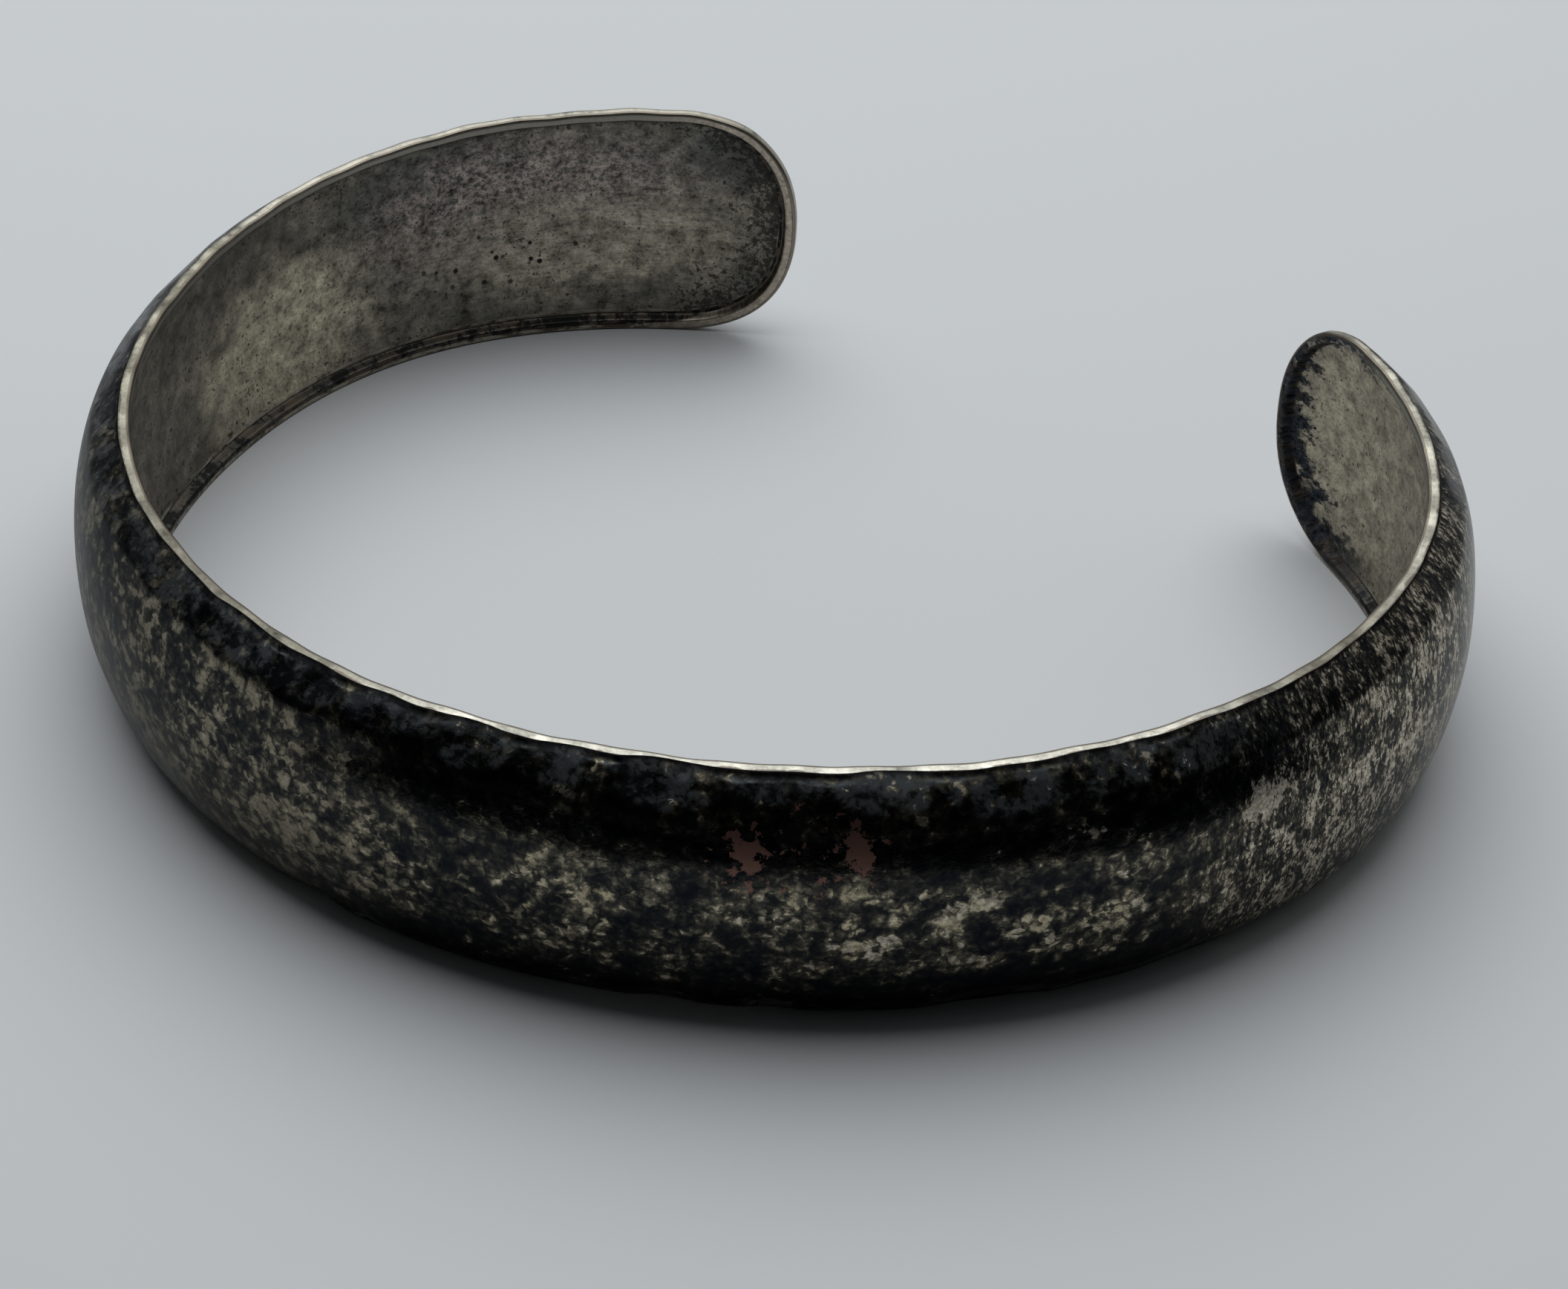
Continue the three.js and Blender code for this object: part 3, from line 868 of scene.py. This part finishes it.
def plain_sheet(name, finish, corners, faces, colour, rough):
    """A flat sheet of one colour, and its shader."""
    mesh = bpy.data.meshes.new(name)
    mesh.from_pydata(corners, [], faces)
    sheet = bpy.data.objects.new(name, mesh)
    bpy.context.scene.collection.objects.link(sheet)
    material = bpy.data.materials.new(finish)
    material.use_nodes = True
    mesh.materials.append(material)
    shader = material.node_tree.nodes["Principled BSDF"]
    shader.inputs["Base Color"].default_value = colour
    shader.inputs["Roughness"].default_value = rough
    return sheet, shader


def pale_floor():
    """A wide plain sheet under the band."""
    corners = FLOOR_REACH * np.array([(-1, -1, 0), (1, -1, 0), (1, 1, 0), (-1, 1, 0)])
    floor, _ = plain_sheet("floor", "pale_sheet", corners, [(0, 1, 2, 3)], FLOOR_COLOUR, 0.9)


def dark_card():
    """A dark sheet flat on the floor, just outside the picture below, that only the metal
    mirrors. It starts a fixed gap in front of the band's outer face.

    Its inner edge is an arc about the front bend, its outer edge the same arc further out."""
    turn = np.radians(np.linspace(*CARD_TURNS, CARD_STEPS)) + CAMERA_TURN
    ray = np.stack([np.sin(turn), -np.cos(turn)], -1)
    middle = np.array(FRONT_FACE) + (0, FRONT_BEND_RADIUS)
    near = middle + (FRONT_BEND_RADIUS + DOME_HEIGHT + CARD_GAP) * ray
    points = np.concatenate([near, near + CARD_REACH * ray])
    points = np.concatenate([points, np.full((len(points), 1), CARD_HEIGHT)], 1) * MM
    start = np.arange(CARD_STEPS - 1)
    faces = np.stack([start, start + 1, start + 1 + CARD_STEPS, start + CARD_STEPS], -1)
    card, shader = plain_sheet("dark_card", "dark_card", points, faces.tolist(), CARD_COLOUR, 1.0)
    shader.inputs["Specular IOR Level"].default_value = 0.0
    card.visible_camera = False
    card.visible_diffuse = False
    card.visible_shadow = False
    card.visible_transmission = False


def photo_camera():
    """The camera at the photograph's angle: aimed at a point near the middle of the band."""
    back = Vector((
        math.sin(CAMERA_TURN) * math.cos(CAMERA_RISE),
        -math.cos(CAMERA_TURN) * math.cos(CAMERA_RISE),
        math.sin(CAMERA_RISE),
    ))
    right = Vector((math.cos(CAMERA_TURN), math.sin(CAMERA_TURN), 0))
    up = back.cross(right)
    rolled_right = right * math.cos(CAMERA_ROLL) - up * math.sin(CAMERA_ROLL)
    rolled_up = right * math.sin(CAMERA_ROLL) + up * math.cos(CAMERA_ROLL)
    data = bpy.data.cameras.new("camera")
    data.lens = CAMERA_LENS
    data.sensor_width = CAMERA_SENSOR
    data.clip_start = CAMERA_NEAREST
    camera = bpy.data.objects.new("camera", data)
    place = (Vector(CAMERA_AIM) + back * CAMERA_DISTANCE) * MM
    facing = Matrix((rolled_right, rolled_up, back)).transposed().to_4x4()
    camera.matrix_world = Matrix.Translation(place) @ facing
    bpy.context.scene.collection.objects.link(camera)
    bpy.context.scene.camera = camera


# Azimuths are turned from straight behind the band, seen from the camera, positive to the right
SOFTBOX_TURN = -10.0
SOFTBOX_RISE = 66.0
SOFTBOX_DISTANCE = 350.0
SOFTBOX_RADIUS = 245.0
SOFTBOX_LIGHT = 1.68
GLOW_TURN = 10.0
GLOW_RISE = 40.0
GLOW_EDGE = 0.30
GLOW_HEART = 0.98
GLOW_LIGHT = 0.38
ROOM_LIGHT = 0.018
SIDE_LIGHT = 0.07
SIDE_START = 0.45
SIDE_HEIGHTS = (0.85, 0.40)
LIGHT_COLOUR = (0.945, 0.975, 1.0)
WALL_COLOUR = rgb(0.50, 0.53, 0.56)


def behind(turn, rise):
    """Direction from the band toward a place behind it, from its turn and rise in degrees."""
    turn = math.radians(turn) - CAMERA_TURN
    rise = math.radians(rise)
    return Vector((math.sin(turn) * math.cos(rise), math.cos(turn) * math.cos(rise), math.sin(rise)))


def softbox():
    """A round soft light above and behind the band, facing it.

    A lamp of area A that sends out the power P has the brightness P / (pi A)."""
    data = bpy.data.lights.new("softbox", "AREA")
    data.shape = "DISK"
    data.size = 2 * SOFTBOX_RADIUS * MM
    data.energy = SOFTBOX_LIGHT * math.pi * math.pi * (SOFTBOX_RADIUS * MM) ** 2
    data.color = LIGHT_COLOUR
    lamp = bpy.data.objects.new("softbox", data)
    toward = behind(SOFTBOX_TURN, SOFTBOX_RISE)
    lamp.location = toward * SOFTBOX_DISTANCE * MM
    lamp.rotation_euler = toward.to_track_quat("Z", "Y").to_euler()
    lamp.visible_camera = False
    bpy.context.scene.collection.objects.link(lamp)


def soft_room():
    """A dim room with one broad soft glow low behind the band and pale walls at the sides.

    The light of a direction is a faint base plus the glow, which fades smoothly with the
    angle from its middle, plus the walls, which fade upward and toward the camera's own
    side. The camera itself sees only a plain pale wall."""
    world = bpy.data.worlds.new("room")
    bpy.context.scene.world = world
    f = Recipe(world)
    look = f.node("ShaderNodeTexCoord").outputs["Generated"]
    toward_glow = f.dot(look, behind(GLOW_TURN, GLOW_RISE))
    glow = f.ramp(toward_glow, GLOW_EDGE, GLOW_HEART, ROOM_LIGHT, ROOM_LIGHT + GLOW_LIGHT)
    flat = f.node("ShaderNodeVectorMath", operation="MULTIPLY")
    f.feed(flat.inputs[0], look)
    f.feed(flat.inputs[1], (1, 1, 0))
    heading = f.node("ShaderNodeVectorMath", operation="NORMALIZE")
    f.feed(heading.inputs[0], flat.outputs[0])
    aside = f.ramp(f.dot(heading.outputs[0], behind(180.0, 0.0)), SIDE_START, 0.0, 0.0, SIDE_LIGHT)
    split = f.node("ShaderNodeSeparateXYZ")
    f.feed(split.inputs[0], look)
    lower = f.ramp(split.outputs["Z"], *SIDE_HEIGHTS)
    room = f.node("ShaderNodeBackground")
    room.inputs["Color"].default_value = rgb(*LIGHT_COLOUR)
    f.feed(room.inputs["Strength"], f.math("MULTIPLY_ADD", aside, lower, glow))
    wall = f.node("ShaderNodeBackground")
    wall.inputs["Color"].default_value = WALL_COLOUR
    path = f.node("ShaderNodeLightPath")
    mix = f.node("ShaderNodeMixShader")
    f.feed(mix.inputs["Fac"], path.outputs["Is Camera Ray"])
    f.feed(mix.inputs[1], room.outputs[0])
    f.feed(mix.inputs[2], wall.outputs[0])
    output = f.node("ShaderNodeOutputWorld")
    f.feed(output.inputs["Surface"], mix.outputs[0])


softbox()
soft_room()
pale_floor()
dark_card()
photo_camera()
bpy.context.scene.view_settings.view_transform = "Standard"

band = make_band()
band.data.materials.append(tarnished_silver())
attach(band, BODY)
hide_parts(BAND_NODE)
